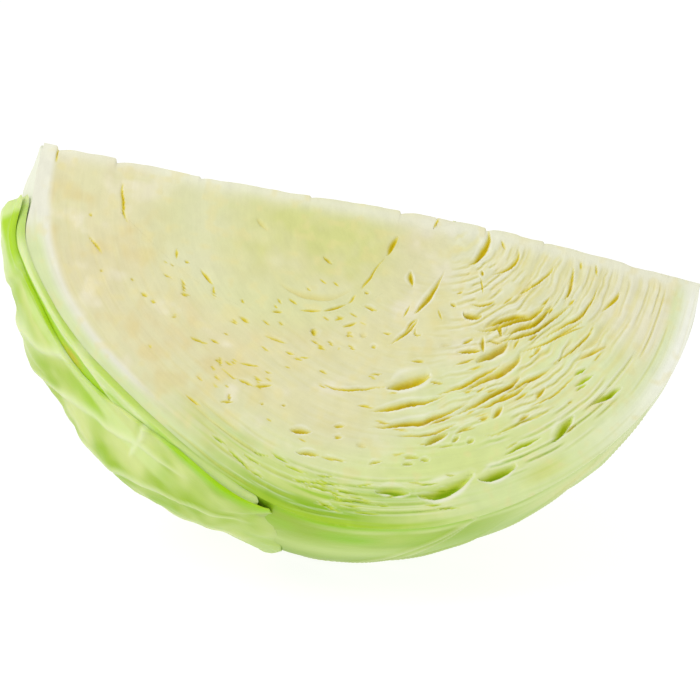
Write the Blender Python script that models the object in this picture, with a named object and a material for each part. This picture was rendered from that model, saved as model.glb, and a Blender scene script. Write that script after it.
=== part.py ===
"""A quarter of a white cabbage head, cut twice lengthwise, lying on its outer leaves with its ridge on top.

Every piece is a block that is sliced along three parameters and then bent into place:
along the leaf from the stem end to the tip, across the wedge from the front cut to the back cut,
and through the thickness from the heart outwards. Metres, +Z up, front cut towards -Y.
"""

from functools import lru_cache
from math import cos, degrees, exp, pi, radians, sin, sqrt

import bmesh
import bpy
from mathutils import Matrix, Vector

# The head before it was cut: nearly a ball, its length lying along the ridge.
RIDGE_LENGTH = 0.180
HALF_LENGTH = RIDGE_LENGTH / 2
HEAD_RADIUS = 0.091
HEART_CENTRE = 0.112  # along the ridge from the stem end, where the nested leaves close in
SHOULDER = 0.056  # share of the radius by which the head is flatter between its stem and its middle
SHOULDER_ANGLE = radians(54)
SHOULDER_HALF_ANGLE = radians(38)

# The wedge: a quarter, lying with its tip end lower, because the loose leaves prop up the stem end.
HALF_WEDGE = radians(45)
TIP_DROP = radians(12.3)
RESTING_DEPTH = 0.0919  # from the middle of the ridge down to the table
RIDGE_BOW = 0.0032  # the knife ran a little high past the middle of the ridge
BOW_MIDDLE = 0.117
BOW_HALF_LENGTH = 0.085
FRONT_INWARD = Vector((0, cos(HALF_WEDGE), -sin(HALF_WEDGE)))
BACK_INWARD = Vector((0, -cos(HALF_WEDGE), -sin(HALF_WEDGE)))

# Solid core, with the ribs that have grown onto it: a stalk at the stem end and a swelling behind it.
CORE_BUTT = 0.003
STALK_RADIUS = 0.010
SWELLING_START = 0.013
SWELLING_MIDDLE = 0.068
CORE_END = 0.107
CORE_RADIUS = 0.038
CORE_CLEARANCE = 0.0008

# Leaves packed round the core. The share of the head's radius says which leaf.
HEART_SHARE = 0.85
HEART_LAYERS = 9
WRAPPERS = 5
WRAPPER_PITCH = (1 - HEART_SHARE) / WRAPPERS
LEAF_CLEARANCE = 0.00035
RIPPLE_HEIGHT = 0.0008

# Gaps between the leaves at the front cut: wrapper number, angle, half angle, share of the leaf left out.
FRONT_GAPS = (
    (2, radians(104), radians(6), 0.55),
    (3, radians(116), radians(7), 0.70),
    (3, radians(128), radians(5), 0.45),
    (2, radians(141), radians(5), 0.60),
    (4, radians(87), radians(7), 0.55),
)
BACK_GAPS = (
    (1, radians(72), radians(6), 0.45),
    (3, radians(96), radians(8), 0.65),
    (2, radians(122), radians(6), 0.60),
    (4, radians(138), radians(6), 0.50),
)

# Outer green leaves, over the packed head, each from the angle at which it leaves the stem.
SKIN_LEAF_START = radians(3.5)
SKIN_LEAF_THICKNESS = 0.0018
SKIN_LEAF_BASE = 0.0022  # how much thicker its white base is
TORN_LEAF_START = radians(10.5)
TORN_LEAF_END = radians(83)
LOOSE_LEAF_START = radians(11)
LOOSE_LEAF_END = radians(86.5)
LEAF_START_RISE = radians(9)  # the torn and the loose leaf leave the stem further on at the back
LOOSE_LEAF_THICKNESS = 0.0019
TABLE_SKIN = 0.0009  # least thickness of a leaf pressed on the table
HEAD_ABOVE_TABLE = 0.0014

LEAF_STEPS = 24
WEDGE_STEPS = 9


def smooth(x):
    """0 below 0, 1 above 1, and a smooth step between them."""
    x = min(max(x, 0.0), 1.0)
    return x * x * (3 - 2 * x)


def bump(x, centre, half_width):
    """A round hill of height 1 at the centre that falls to 0 at half_width."""
    away = abs(x - centre) / half_width
    return cos(away * pi / 2) ** 2 if away < 1 else 0.0


def sliced_block(name, along, across, through):
    """A unit block cut at the given shares of its sides, every rectangle split into two triangles."""
    block = bmesh.new()
    bmesh.ops.create_cube(block, size=1.0)
    bmesh.ops.translate(block, vec=(0.5, 0.5, 0.5), verts=block.verts)
    for axis, shares in enumerate((along, across, through)):
        normal = Vector((0, 0, 0))
        normal[axis] = 1
        for share in shares:
            everything = block.verts[:] + block.edges[:] + block.faces[:]
            bmesh.ops.bisect_plane(block, geom=everything, plane_co=normal * share, plane_no=normal)
    for face in block.faces[:]:
        corners = sorted(face.verts, key=lambda vert: sum(vert.co))
        bmesh.utils.face_split(face, corners[0], corners[-1])
    mesh = bpy.data.meshes.new(name)
    block.to_mesh(mesh)
    block.free()
    return mesh


def even(steps):
    """The shares that cut a side into equal steps."""
    return [step / steps for step in range(1, steps)]


def place(along_ridge, from_ridge, turn):
    """A point of the lying wedge: along the ridge, out from it, and turned from straight below."""
    bow = RIDGE_BOW * bump(along_ridge, BOW_MIDDLE, BOW_HALF_LENGTH) * max(1 - from_ridge / HEAD_RADIUS, 0)
    upright = Vector((along_ridge - HALF_LENGTH, from_ridge * sin(turn), bow - from_ridge * cos(turn)))
    return Matrix.Rotation(TIP_DROP, 3, "Y") @ upright + Vector((0, 0, RESTING_DEPTH))


def ripple(angle, turn):
    """The slow waves that all the packed leaves share."""
    return RIPPLE_HEIGHT * sin(5 * angle + 2 * turn + 0.6) * sin(angle)


def nest(share, angle, turn=0.0):
    """The nested arcs of the leaves: (along ridge, from ridge) at a share of the radius and an angle."""
    middle = HEART_CENTRE + (HALF_LENGTH - HEART_CENTRE) * share
    waved = 1 + ripple(angle, turn) / HEAD_RADIUS
    waved -= SHOULDER * share * share * bump(angle, SHOULDER_ANGLE, SHOULDER_HALF_ANGLE)
    return (
        middle - HALF_LENGTH * share * waved * cos(angle),
        HEAD_RADIUS * share * waved * sin(angle),
    )


def core_depth(along_ridge):
    """How far the core reaches from the ridge: its stalk, then a rise, then a round end."""
    if along_ridge >= CORE_END:
        return 0.0
    if along_ridge >= SWELLING_MIDDLE:
        away = (along_ridge - SWELLING_MIDDLE) / (CORE_END - SWELLING_MIDDLE)
        return CORE_RADIUS * sqrt(1 - away * away)
    risen = max(0.0, (along_ridge - SWELLING_START) / (SWELLING_MIDDLE - SWELLING_START))
    return STALK_RADIUS + (CORE_RADIUS - STALK_RADIUS) * sin(risen * pi / 2) ** 1.3


@lru_cache(maxsize=None)
def leaf_root(share):
    """The angle at which an arc comes out of the core, found by halving."""
    outside = pi / 2
    inside = 0.0

    def clear(angle):
        along_ridge, from_ridge = nest(share, angle)
        return from_ridge > core_depth(along_ridge) + CORE_CLEARANCE or along_ridge > CORE_END

    if clear(0.0) or share == 0:
        return 0.0
    while not clear(outside):
        outside += radians(5)
    while outside - inside > 1e-5:
        middle = (outside + inside) / 2
        if clear(middle):
            outside = middle
        else:
            inside = middle
    return outside


def rest_on_table(point, least_height=0.0):
    """Presses a point that would lie under the table flat onto it."""
    point.z = max(point.z, least_height)
    return point


def bend(mesh, rule):
    """Moves every point of a sliced block by its rule, then closes the seams and poles."""
    for vertex in mesh.vertices:
        vertex.co = rule(*vertex.co)
    shape = bmesh.new()
    shape.from_mesh(mesh)
    bmesh.ops.remove_doubles(shape, verts=shape.verts, dist=2e-5)
    bmesh.ops.recalc_face_normals(shape, faces=shape.faces)
    shape.to_mesh(mesh)
    shape.free()
    mesh.shade_smooth()
    mesh.set_sharp_from_angle(angle=radians(40))
    return mesh


def finish(name, colour, roughness):
    """A matt or waxy leaf surface."""
    material = bpy.data.materials.new(name)
    material.use_nodes = True
    shader = material.node_tree.nodes["Principled BSDF"]
    shader.inputs["Base Color"].default_value = (*colour, 1)
    shader.inputs["Roughness"].default_value = roughness
    shader.inputs["Metallic"].default_value = 0.0
    return material


def add_piece(name, mesh, material):
    piece = bpy.data.objects.new(name, mesh)
    piece.data.materials.append(material)
    wedge.objects.link(piece)
    return piece


def core():
    """The quarter of the core that this wedge holds."""

    def rule(along, across, through):
        along_ridge = CORE_BUTT + (CORE_END - CORE_BUTT) * sin(along * pi / 2) ** 1.2
        return place(along_ridge, core_depth(along_ridge) * through, (across - 0.5) * 2 * HALF_WEDGE)

    return bend(sliced_block("core", even(18), even(WEDGE_STEPS), even(2)), rule)


def groove_shares():
    """Through the heart: both lips and the bottom of the groove between each pair of leaves."""
    lip = 0.012
    bottoms = [layer / HEART_LAYERS for layer in range(1, HEART_LAYERS)]
    grooves = [bottom + side * lip for bottom in bottoms for side in (-1, 0, 1)]
    innermost = [0.4 / HEART_LAYERS, 0.7 / HEART_LAYERS, 1.5 / HEART_LAYERS, 2.5 / HEART_LAYERS]
    return bottoms, sorted(grooves + innermost)


def groove_depth(angle, front, layer):
    """Grooves are shallow where the leaf bases have grown together, and gape towards the tip."""
    gape_angle = radians(128 if front else 118)
    wander = 0.5 + 0.5 * sin(3.7 * layer + 5 * angle)
    return 0.0006 + 0.0042 * bump(angle, gape_angle, radians(52)) * wander


def heart():
    """The crumpled inner leaves, grown together at the core, with a groove between each pair."""
    bottoms, cuts = groove_shares()

    def rule(along, across, through):
        share = HEART_SHARE * through
        turn = (across - 0.5) * 2 * HALF_WEDGE
        root = leaf_root(round(share, 6))
        angle = root + along * (pi - root)
        along_ridge, from_ridge = nest(share, angle, turn if through == 1 else 0.0)
        point = place(along_ridge, from_ridge if angle < pi else 0.0, turn)
        for layer, bottom in enumerate(bottoms):
            if abs(through - bottom) < 1e-4 and across in (0.0, 1.0):
                front = across == 0.0
                depth = min(groove_depth(angle, front, layer), 0.3 * from_ridge)
                inward = FRONT_INWARD if front else BACK_INWARD
                point = point + Matrix.Rotation(TIP_DROP, 3, "Y") @ inward * depth
        return point

    return bend(sliced_block("heart", even(LEAF_STEPS), even(WEDGE_STEPS), cuts), rule)


def gap_share(number, angle, across):
    """The share of a wrapper's thickness left out beside a gap, which closes a little way in from the cut."""
    share = 0.0
    for gaps, cut_edge in ((FRONT_GAPS, 1 - across), (BACK_GAPS, across)):
        for leaf, centre, half_angle, depth in gaps:
            if leaf == number:
                share = max(share, depth * bump(angle, centre, half_angle) * smooth(4 * cut_edge - 3))
    return share


def wrapper(number):
    """A leaf wrapped round the heart from the core to the tip, thick at its base and thin at its tip."""
    inner = HEART_SHARE + WRAPPER_PITCH * number

    def rule(along, across, through):
        turn = (across - 0.5) * 2 * HALF_WEDGE
        share = inner + WRAPPER_PITCH * through
        root = leaf_root(round(share, 6))
        angle = root + along * (pi - root)
        clearance = LEAF_CLEARANCE / HEAD_RADIUS
        if through == 0:
            share += clearance + gap_share(number, angle, across) * (WRAPPER_PITCH - clearance)
        along_ridge, from_ridge = nest(share, angle, turn)
        return rest_on_table(place(along_ridge, from_ridge if along < 1 else 0.0, turn), HEAD_ABOVE_TABLE)

    block = sliced_block(f"wrapper_leaf_{number + 1}", even(LEAF_STEPS), even(WEDGE_STEPS), ())
    return bend(block, rule)


def over_head(angle, height, turn):
    """A point at this height over the packed head."""
    along_ridge, from_ridge = nest(1.0, angle, turn)
    lifted = 1 + height / HEAD_RADIUS
    return place(HALF_LENGTH + (along_ridge - HALF_LENGTH) * lifted, from_ridge * lifted, turn)


def skin_thickness(angle):
    """The skin leaf has a thick white base at the stem, rising from a thin edge, and is thin at the tip."""
    base = SKIN_LEAF_BASE * bump(angle, radians(12), radians(20))
    blade = SKIN_LEAF_THICKNESS * (1 - 0.55 * smooth((angle - radians(108)) / radians(50)))
    return (blade + base) * (0.3 + 0.7 * smooth(angle / radians(10)))


def skin_leaf():
    """The green leaf that covers the whole wedge from the stem to the tip, pressed flat where it rests."""

    def rule(along, across, through):
        angle = SKIN_LEAF_START + along * (pi - SKIN_LEAF_START)
        turn = (across - 0.5) * 2 * HALF_WEDGE
        gap = 0.6 * bump(angle, radians(88), radians(8)) * smooth(1 - 4 * across)
        height = LEAF_CLEARANCE + skin_thickness(angle) * (through if through else gap)
        if along == 1:
            return place(RIDGE_LENGTH + height, 0.0, turn)
        return rest_on_table(over_head(angle, height, turn), TABLE_SKIN * (1 - through))

    block = sliced_block("skin_leaf", even(LEAF_STEPS), even(WEDGE_STEPS), ())
    return bend(block, rule)


def leaf_start(first, turn):
    """The angle at which an outer leaf leaves the stem."""
    return first + LEAF_START_RISE * smooth(turn / HALF_WEDGE)


def torn_end(turn):
    """The torn edge: furthest along at the front cut, where the tongue is."""
    across = turn / (2 * HALF_WEDGE) + 0.5
    return TORN_LEAF_END - radians(12) * smooth(across * 1.6) + radians(2) * sin(7 * across)


def off_the_head(turn):
    """The outer leaves lie close at the front cut, and stand off the head's shoulder behind it."""
    return smooth((turn + radians(43)) / radians(20))


def torn_height(angle, turn):
    """Inner surface of the torn leaf over the packed head: lifted a little at the flat shoulder."""
    lifted = 0.0015 * bump(angle, radians(46), radians(30)) * off_the_head(turn)
    return LEAF_CLEARANCE * 2 + skin_thickness(angle) + lifted


def torn_thickness(angle):
    """Thin where it leaves the stem."""
    return LOOSE_LEAF_THICKNESS * (0.5 + 0.5 * smooth((angle - TORN_LEAF_START) / radians(12)))


def torn_leaf():
    """A short leaf from the stem that ends in a torn, rounded tongue at the front cut."""

    def rule(along, across, through):
        turn = (across - 0.5) * 2 * HALF_WEDGE
        start = leaf_start(TORN_LEAF_START, turn)
        angle = start + along * (torn_end(turn) - start)
        blunt = 1 - 0.55 * smooth((along - 0.94) / 0.06)
        height = torn_height(angle, turn) + torn_thickness(angle) * blunt * through
        return over_head(angle, height, turn)

    return bend(sliced_block("torn_leaf", even(14), even(WEDGE_STEPS), ()), rule)


def loose_height(angle, turn):
    """Inner side of the loose leaf over the packed head: off the shoulder, close where the leaf ends."""
    resting = LEAF_CLEARANCE * 2 + skin_thickness(angle)
    over_torn = torn_height(angle, turn) + torn_thickness(angle) + LEAF_CLEARANCE
    bulge = 0.0045 * bump(angle, radians(45), radians(38)) + 0.0025 * bump(angle, radians(58), radians(24))
    bulge = bulge * off_the_head(turn)
    ear = 0.0012 * exp(-(((degrees(angle) - 18) / 8) ** 2) - ((degrees(turn) + 38) / 13) ** 2)
    waves = 0.0004 * (1 + sin(9 * angle + 4 * turn)) * bump(angle, radians(45), radians(45))
    past_torn = smooth((angle - torn_end(turn) - radians(1)) / radians(5))
    return over_torn + (resting - over_torn) * past_torn + bulge + ear + waves


def loose_leaf():
    """The loose outermost leaf at the stem end, drawn back from the front cut and ending in a rolled rim."""

    def rule(along, across, through):
        drawn_back = radians(6) * (1 - smooth((along - 0.45) / 0.35)) * smooth(along / 0.1)
        first_turn = -HALF_WEDGE + drawn_back
        turn = first_turn + across * (HALF_WEDGE - first_turn)
        start = leaf_start(LOOSE_LEAF_START, turn)
        wavy_end = 4.5 * smooth(across * 2.2) - 8 * smooth((across - 0.5) * 2) + 1.5 * sin(9 * across) - 3.5
        end = LOOSE_LEAF_END + radians(wavy_end)
        angle = start + along * (end - start)
        rolled_rim = 0.0007 * bump(along, 0.965, 0.06)
        height = loose_height(angle, turn) + through * (LOOSE_LEAF_THICKNESS + rolled_rim)
        return rest_on_table(over_head(angle, height, turn), TABLE_SKIN * (1 - through))

    return bend(sliced_block("loose_leaf", even(20), even(WEDGE_STEPS), ()), rule)


for leftover in list(bpy.data.objects):
    bpy.data.objects.remove(leftover)

wedge = bpy.data.collections.new("cabbage_wedge")
bpy.context.scene.collection.children.link(wedge)

CREAM = (0.83, 0.79, 0.50)
WHITE_RIB = (0.86, 0.84, 0.60)
PALE_GREEN = (0.72, 0.80, 0.36)
LEAF_GREEN = (0.50, 0.68, 0.16)

add_piece("core", core(), finish("core_flesh", WHITE_RIB, 0.5))
add_piece("heart", heart(), finish("heart_leaves", CREAM, 0.5))
for wrapper_number in range(WRAPPERS):
    greener = wrapper_number / (WRAPPERS - 1)
    leaf_colour = tuple(inner + (outer - inner) * greener for inner, outer in zip(CREAM, PALE_GREEN))
    leaf_name = f"wrapper_leaf_{wrapper_number + 1}"
    add_piece(leaf_name, wrapper(wrapper_number), finish(leaf_name, leaf_colour, 0.45))
add_piece("skin_leaf", skin_leaf(), finish("skin_leaf", LEAF_GREEN, 0.4))
add_piece("torn_leaf", torn_leaf(), finish("torn_leaf", LEAF_GREEN, 0.4))
add_piece("loose_leaf", loose_leaf(), finish("loose_leaf", LEAF_GREEN, 0.4))
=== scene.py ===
"""A quarter of a white cabbage head, cut twice, with its gaps and loose green leaves, on a pale table."""

import math

import bmesh
import bpy
import numpy as np
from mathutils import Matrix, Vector


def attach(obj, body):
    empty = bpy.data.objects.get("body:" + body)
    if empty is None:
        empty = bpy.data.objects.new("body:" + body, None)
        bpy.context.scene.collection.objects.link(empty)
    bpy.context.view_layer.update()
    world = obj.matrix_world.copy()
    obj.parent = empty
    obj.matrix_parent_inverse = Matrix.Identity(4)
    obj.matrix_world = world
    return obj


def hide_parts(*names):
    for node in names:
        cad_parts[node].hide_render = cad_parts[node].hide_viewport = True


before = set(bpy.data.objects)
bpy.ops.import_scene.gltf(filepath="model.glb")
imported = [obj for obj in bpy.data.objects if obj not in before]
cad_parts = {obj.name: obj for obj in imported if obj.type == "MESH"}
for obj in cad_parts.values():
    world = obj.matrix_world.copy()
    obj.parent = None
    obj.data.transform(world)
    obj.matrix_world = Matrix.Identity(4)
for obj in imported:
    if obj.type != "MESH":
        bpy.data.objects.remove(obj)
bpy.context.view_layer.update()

# Core, the solid middle of the stem. Like everything packed round it, it shows two cut faces, so the
# rules for a cut face stand here: where it lies, how deep its gaps are, and how it is coloured.
HALF_LENGTH = 0.090
HEAD_RADIUS = 0.091
HEART_CENTRE = 0.112
SHOULDER = 0.056
SHOULDER_ANGLE = math.radians(54)
SHOULDER_HALF_ANGLE = math.radians(38)
RIPPLE_HEIGHT = 0.0008
HALF_WEDGE = math.radians(45)
TIP_DROP = math.radians(12.3)
RESTING_DEPTH = 0.0919
RIDGE_BOW = 0.0032
BOW_MIDDLE = 0.117
BOW_HALF_LENGTH = 0.085
CORE_BUTT = -0.0002
STALK_RADIUS = 0.010
SWELLING_START = 0.013
SWELLING_MIDDLE = 0.068
CORE_END = 0.107
CORE_RADIUS = 0.038
CORE_CLEARANCE = -0.0001


def smooth(x):
    """0 below 0, 1 above 1, and a smooth step between them."""
    x = np.clip(x, 0, 1)
    return x * x * (3 - 2 * x)


def grows(x, start, width):
    """0 up to the start, 1 from there on by the width, and a smooth step between."""
    return smooth((x - start) / width)


def fades(x, start, width):
    """The other way round: 1 up to the start, then down to 0."""
    return 1 - grows(x, start, width)


def bump(x, centre, half_width):
    """A round hill of height 1 at the centre that falls to 0 at half_width."""
    away = np.minimum(np.abs(x - centre) / half_width, 1)
    return np.cos(away * math.pi / 2) ** 2


def from_front(turn):
    """How many degrees a turn lies from the front cut."""
    return np.degrees(turn + HALF_WEDGE)


def bow(along, out):
    """How far the ridge stands above a straight line, fading away from the ridge."""
    return RIDGE_BOW * bump(along, BOW_MIDDLE, BOW_HALF_LENGTH) * np.clip(1 - out / HEAD_RADIUS, 0, None)


def tilt(x, y, z):
    """Turns upright directions so that the tip end lies lower."""
    tilted_x = x * math.cos(TIP_DROP) + z * math.sin(TIP_DROP)
    tilted_z = z * math.cos(TIP_DROP) - x * math.sin(TIP_DROP)
    return np.stack(np.broadcast_arrays(tilted_x, y, tilted_z), axis=-1)


def place(along, out, turn):
    """A point of the lying wedge: along the ridge, out from it, and turned from straight below."""
    point = tilt(along - HALF_LENGTH, out * np.sin(turn), bow(along, out) - out * np.cos(turn))
    return point + (0, 0, RESTING_DEPTH)


def waved(share, angle, turn):
    """How much longer than a plain arc's the radius is: slow waves, less the flat shoulder."""
    ripple = RIPPLE_HEIGHT * np.sin(5 * angle + 2 * turn + 0.6) * np.sin(angle)
    shoulder = SHOULDER * share**2 * bump(angle, SHOULDER_ANGLE, SHOULDER_HALF_ANGLE)
    return 1 + ripple / HEAD_RADIUS - shoulder


def nest(share, angle, turn):
    """The nested arcs of the leaves: (along ridge, from ridge) at a share of the radius and an angle."""
    middle = HEART_CENTRE + (HALF_LENGTH - HEART_CENTRE) * share
    reach = share * waved(share, angle, turn)
    return middle - HALF_LENGTH * reach * np.cos(angle), HEAD_RADIUS * reach * np.sin(angle)


def unnest(along, out, turn):
    """The share and angle of the arc through a point, by solving for the share again and again."""
    drift = (HALF_LENGTH - HEART_CENTRE) / HALF_LENGTH
    x = (along - HEART_CENTRE) / HALF_LENGTH
    y = out / HEAD_RADIUS
    stretch = np.ones_like(x)
    for _ in range(4):
        squared = stretch**2 - drift**2
        share = (np.sqrt(drift**2 * x**2 + squared * (x**2 + y**2)) - drift * x) / squared
        angle = np.arctan2(y, drift * share - x)
        stretch = waved(share, angle, turn)
    return share, angle


def core_depth(along):
    """How far the core reaches from the ridge: its stalk, then a rise, then a round end."""
    away = np.clip((along - SWELLING_MIDDLE) / (CORE_END - SWELLING_MIDDLE), 0, 1)
    risen = np.clip((along - SWELLING_START) / (SWELLING_MIDDLE - SWELLING_START), 0, 1)
    rise = STALK_RADIUS + (CORE_RADIUS - STALK_RADIUS) * np.sin(risen * math.pi / 2) ** 1.3
    return np.where(along > SWELLING_MIDDLE, CORE_RADIUS * np.sqrt(1 - away**2), rise)


def lattice(x, y, seed):
    """Smooth noise from -1 to 1: seeded heights on a square lattice, blended by smooth steps."""
    size = 256
    heights = np.random.default_rng(seed).uniform(-1, 1, (size, size))
    column = np.floor(x).astype(int)
    row = np.floor(y).astype(int)
    right = smooth(x - column)
    up = smooth(y - row)
    low, high = (
        heights[column % size, line % size] * (1 - right) + heights[(column + 1) % size, line % size] * right
        for line in (row, row + 1)
    )
    return low * (1 - up) + high * up


def noise(x, y, seed, octaves=3):
    """The sum of lattices, each twice as fine and half as high as the one before."""
    total = 0
    for octave in range(octaves):
        total = total + lattice(x * 2**octave, y * 2**octave, seed + octave) / 2**octave
    return total / (2 - 0.5 ** (octaves - 1))


def stroke_distance(x, y, path, width):
    """Near a stroke through two to four places: which points are near, how far round the stroke they
    lie, their distance to its line, counted upwards on its lower right side, and its length."""
    path = np.array(path, float)
    curve = np.polyfit(np.linspace(0, 1, len(path)), path, len(path) - 1)
    line = np.stack([np.polyval(curve[:, axis], np.linspace(0, 1, 13)) for axis in (0, 1)], axis=-1)
    margin = 1.6 * width + 0.6
    low = line.min(axis=0) - margin
    high = line.max(axis=0) + margin
    near = np.nonzero((x > low[0]) & (x < high[0]) & (y > low[1]) & (y < high[1]))
    if len(near[0]) == 0:
        return near, None, None, None
    start = line[:-1]
    step = np.diff(line, axis=0)
    offset = np.stack([x[near], y[near]], axis=-1)[:, None] - start
    length = np.maximum((step**2).sum(axis=-1), 1e-9)
    share = np.clip((offset * step).sum(axis=-1) / length, 0, 1)
    away = offset - share[..., None] * step
    distance = np.hypot(away[..., 0], away[..., 1])
    nearest = distance.argmin(axis=1)
    rows = np.arange(len(nearest))
    side_x = -step[nearest, 1]
    side_y = step[nearest, 0]
    lower_right = np.where(side_x * 0.45 + side_y * 0.9 < 0, -1, 1)
    towards = away[rows, nearest, 0] * side_x + away[rows, nearest, 1] * side_y
    signed = distance[rows, nearest] * np.sign(towards) * lower_right
    passed = (nearest + share[rows, nearest]) / len(step)
    return near, passed, signed, np.sqrt(length).sum()


DEEPEST_GAP = 2.3
LIP_HEIGHT = 0.10


def carve(x, y, strokes, sink, gap, rim):
    """Cuts strokes into a face, in millimetres: a slope above each, and below it a wall with a lip."""
    for *path, width in strokes:
        near, passed, signed, length = stroke_distance(x, y, path, width)
        if passed is None:
            continue
        stretched = (2 * passed - 1) * length / (length + width)
        body = (1 - stretched**2) ** 1.3
        across = signed / (width * (0.3 + 0.7 * body))
        wall = max(0.18, 0.3 / width)
        opened = grows(across, -0.95, 1.2) ** 1.5 * fades(across, 0.3, wall) * body
        lip = np.exp(-(((across - 0.62) / 0.16) ** 2)) * body
        deepest = min(0.75 * width**1.3, DEEPEST_GAP)
        sink[near] = np.maximum(sink[near], opened * deepest) - LIP_HEIGHT * lip * min(width, 1.6)
        # The gap mask: where shade is painted into the gap, more strongly in wider gaps.
        gap[near] = np.maximum(gap[near], opened * min(0.55 + 0.3 * width, 1))
        # The rim mask: where a highlight is painted, on the lip below the gap and along its upper edge.
        upper_highlight = 0.6 * np.exp(-(((across + 1.15) / 0.25) ** 2)) * body
        rim[near] = np.maximum(rim[near], np.maximum(np.sqrt(lip), upper_highlight) * min(width, 1))


# Gaps placed on the cut that faces the camera: places along each gap in millimetres, first
# along the ridge and then away from it, and last the gap's width.
CRUMPLED_GAPS = (
    ((121, -2.5), (121.5, 5), (117.5, 11), 1.5),
    ((125, 1), (126.5, 3), 0.7),
    ((130, 2.5), (129.5, 7.5), (124.5, 12), 1.1),
    ((122, 12), (122.2, 12.8), 1.0),
    ((141, 3.5), (137.5, 10.5), (131, 16.5), 0.9),
    ((131, 16.5), (128.5, 20.5), 0.6),
    ((141, 14), (138, 18.5), 0.6),
    ((145.5, 3), (145.5, 9.5), (144, 14.5), 1.0),
    ((147.5, 1), (147.5, 4), 0.6),
    ((151.5, 0.5), (152.5, 5), 0.6),
    ((154, 6), (148.5, 18.5), (139.5, 28), 1.0),
    ((159, 7.5), (158, 11.5), (155, 16), 1.1),
    ((147, 13), (146, 15.5), 0.7),
    ((142, 16), (137, 23.5), (130.5, 29), 1.7),
    ((136, 21), (131.5, 24), (124.5, 28), 1.6),
    ((119, 25.5), (120.5, 26), (123.5, 25), 1.9),
    ((126.5, 19), (124, 21.5), (119.5, 22), 0.9),
    ((112, 14), (108.5, 24), (105.5, 28.5), 1.3),
    ((103, 16), (104, 20), 1.3),
    ((126, 31.5), (130.5, 31.5), 0.8),
    ((128.5, 27), (129.5, 29), 1.3),
    ((124.5, 31), (126, 35.5), 1.1),
    ((118.5, 37.5), (126, 35), 1.4),
    ((124, 38), (118, 42), 0.7),
    ((131.5, 31), (129.5, 34.5), (124.5, 39), 2.2),
    ((135.5, 33.5), (132, 39.5), (120.5, 49), 1.8),
    ((131.5, 36.5), (124, 45), (113.5, 51.5), 1.0),
    ((136, 40.5), (132, 45.5), (119, 57), 1.5),
    ((145, 35.5), (139, 41), (132.5, 46.5), 1.1),
    ((122.5, 32), (119.5, 35), 0.9),
    ((139, 26), (137, 29), 0.9),
    ((140.5, 30), (139, 33), 0.9),
    ((134.5, 29), (133.5, 32.5), 0.7),
    ((151.5, 20.5), (143, 27.5), 0.7),
    ((158, 24.5), (150, 32.5), 1.1),
    ((143, 41.5), (141, 46), 1.1),
    ((139, 44.5), (135, 48), 0.7),
    ((132.5, 51), (131, 53.5), 1.0),
    ((107, 30), (105, 32), (103.5, 36), 0.8),
    ((106.5, 33), (107, 35), (108.5, 34.5), 0.7),
    ((111.5, 25.5), (113, 29), 0.6),
    ((114.5, 23), (116, 23.5), 0.9),
    ((121.5, 13.5), (122.5, 18), 0.5),
    ((116, 20), (117.5, 18.5), 0.6),
    ((103, 52), (107, 49.8), (111.5, 45.8), 3.6),
    ((106.5, 43.5), (111, 42), 0.7),
    ((108, -2), (107, 1.5), 0.8),
)
INNER_GAPS = (
    ((98, 6.5), (96, 12.5), 1.4),
    ((96, 12.5), (92.5, 21), (91, 25), 0.7),
    ((80, 17.5), (82, 18.7), 1.0),
    ((48, 28), (52, 32.5), 0.9),
    ((52, 32.5), (53, 37), 0.6),
    ((69, 36.5), (71.5, 36), 0.9),
    ((75.5, 34.5), (81.5, 33.5), 0.7),
    ((81.5, 33.5), (87.5, 30), 0.9),
    ((87.5, 30), (89.5, 27), 0.6),
    ((61.5, 40), (64, 41.5), 0.9),
    ((59.5, 41.5), (61, 42), 0.7),
    ((67.5, 40), (69, 41), 0.7),
    ((71.5, 39), (72.5, 40), 0.7),
    ((68.5, 44), (75, 45), 0.7),
    ((80.6, 39.4), (81.4, 40.8), 1.2),
    ((92, 29.5), (95.5, 29.5), 0.9),
    ((85, 35.5), (87.5, 34), 0.7),
    ((87.5, 37), (91.5, 35), 0.8),
    ((92.3, 25.5), (92.6, 25.5), 0.8),
    ((89.6, 38.8), (89.9, 38.8), 0.8),
    ((96.9, 40.4), (97.1, 40.4), 0.8),
    ((58.9, 45.8), (59.1, 45.8), 0.7),
    ((107, 30), (104.5, 34.5), (100.5, 39), 1.0),
    ((104, 26), (102.5, 30), 0.6),
    ((58.7, 53.6), (59.1, 56.2), 0.9),
    ((59, 56), (62, 58.3), (64, 58.7), 0.6),
    ((64, 58.7), (68.5, 60), 0.9),
    ((68.5, 60), (73, 58), 0.9),
    ((63, 54), (68.5, 53.5), 0.7),
    ((70.5, 54.3), (72.2, 54.5), 0.6),
    ((84.5, 54), (89, 55), (96, 54), (104, 51.5), 0.8),
    ((78.5, 48), (81.5, 47.7), 0.5),
    ((52.5, 50.4), (53.8, 50), 0.6),
)
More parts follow.
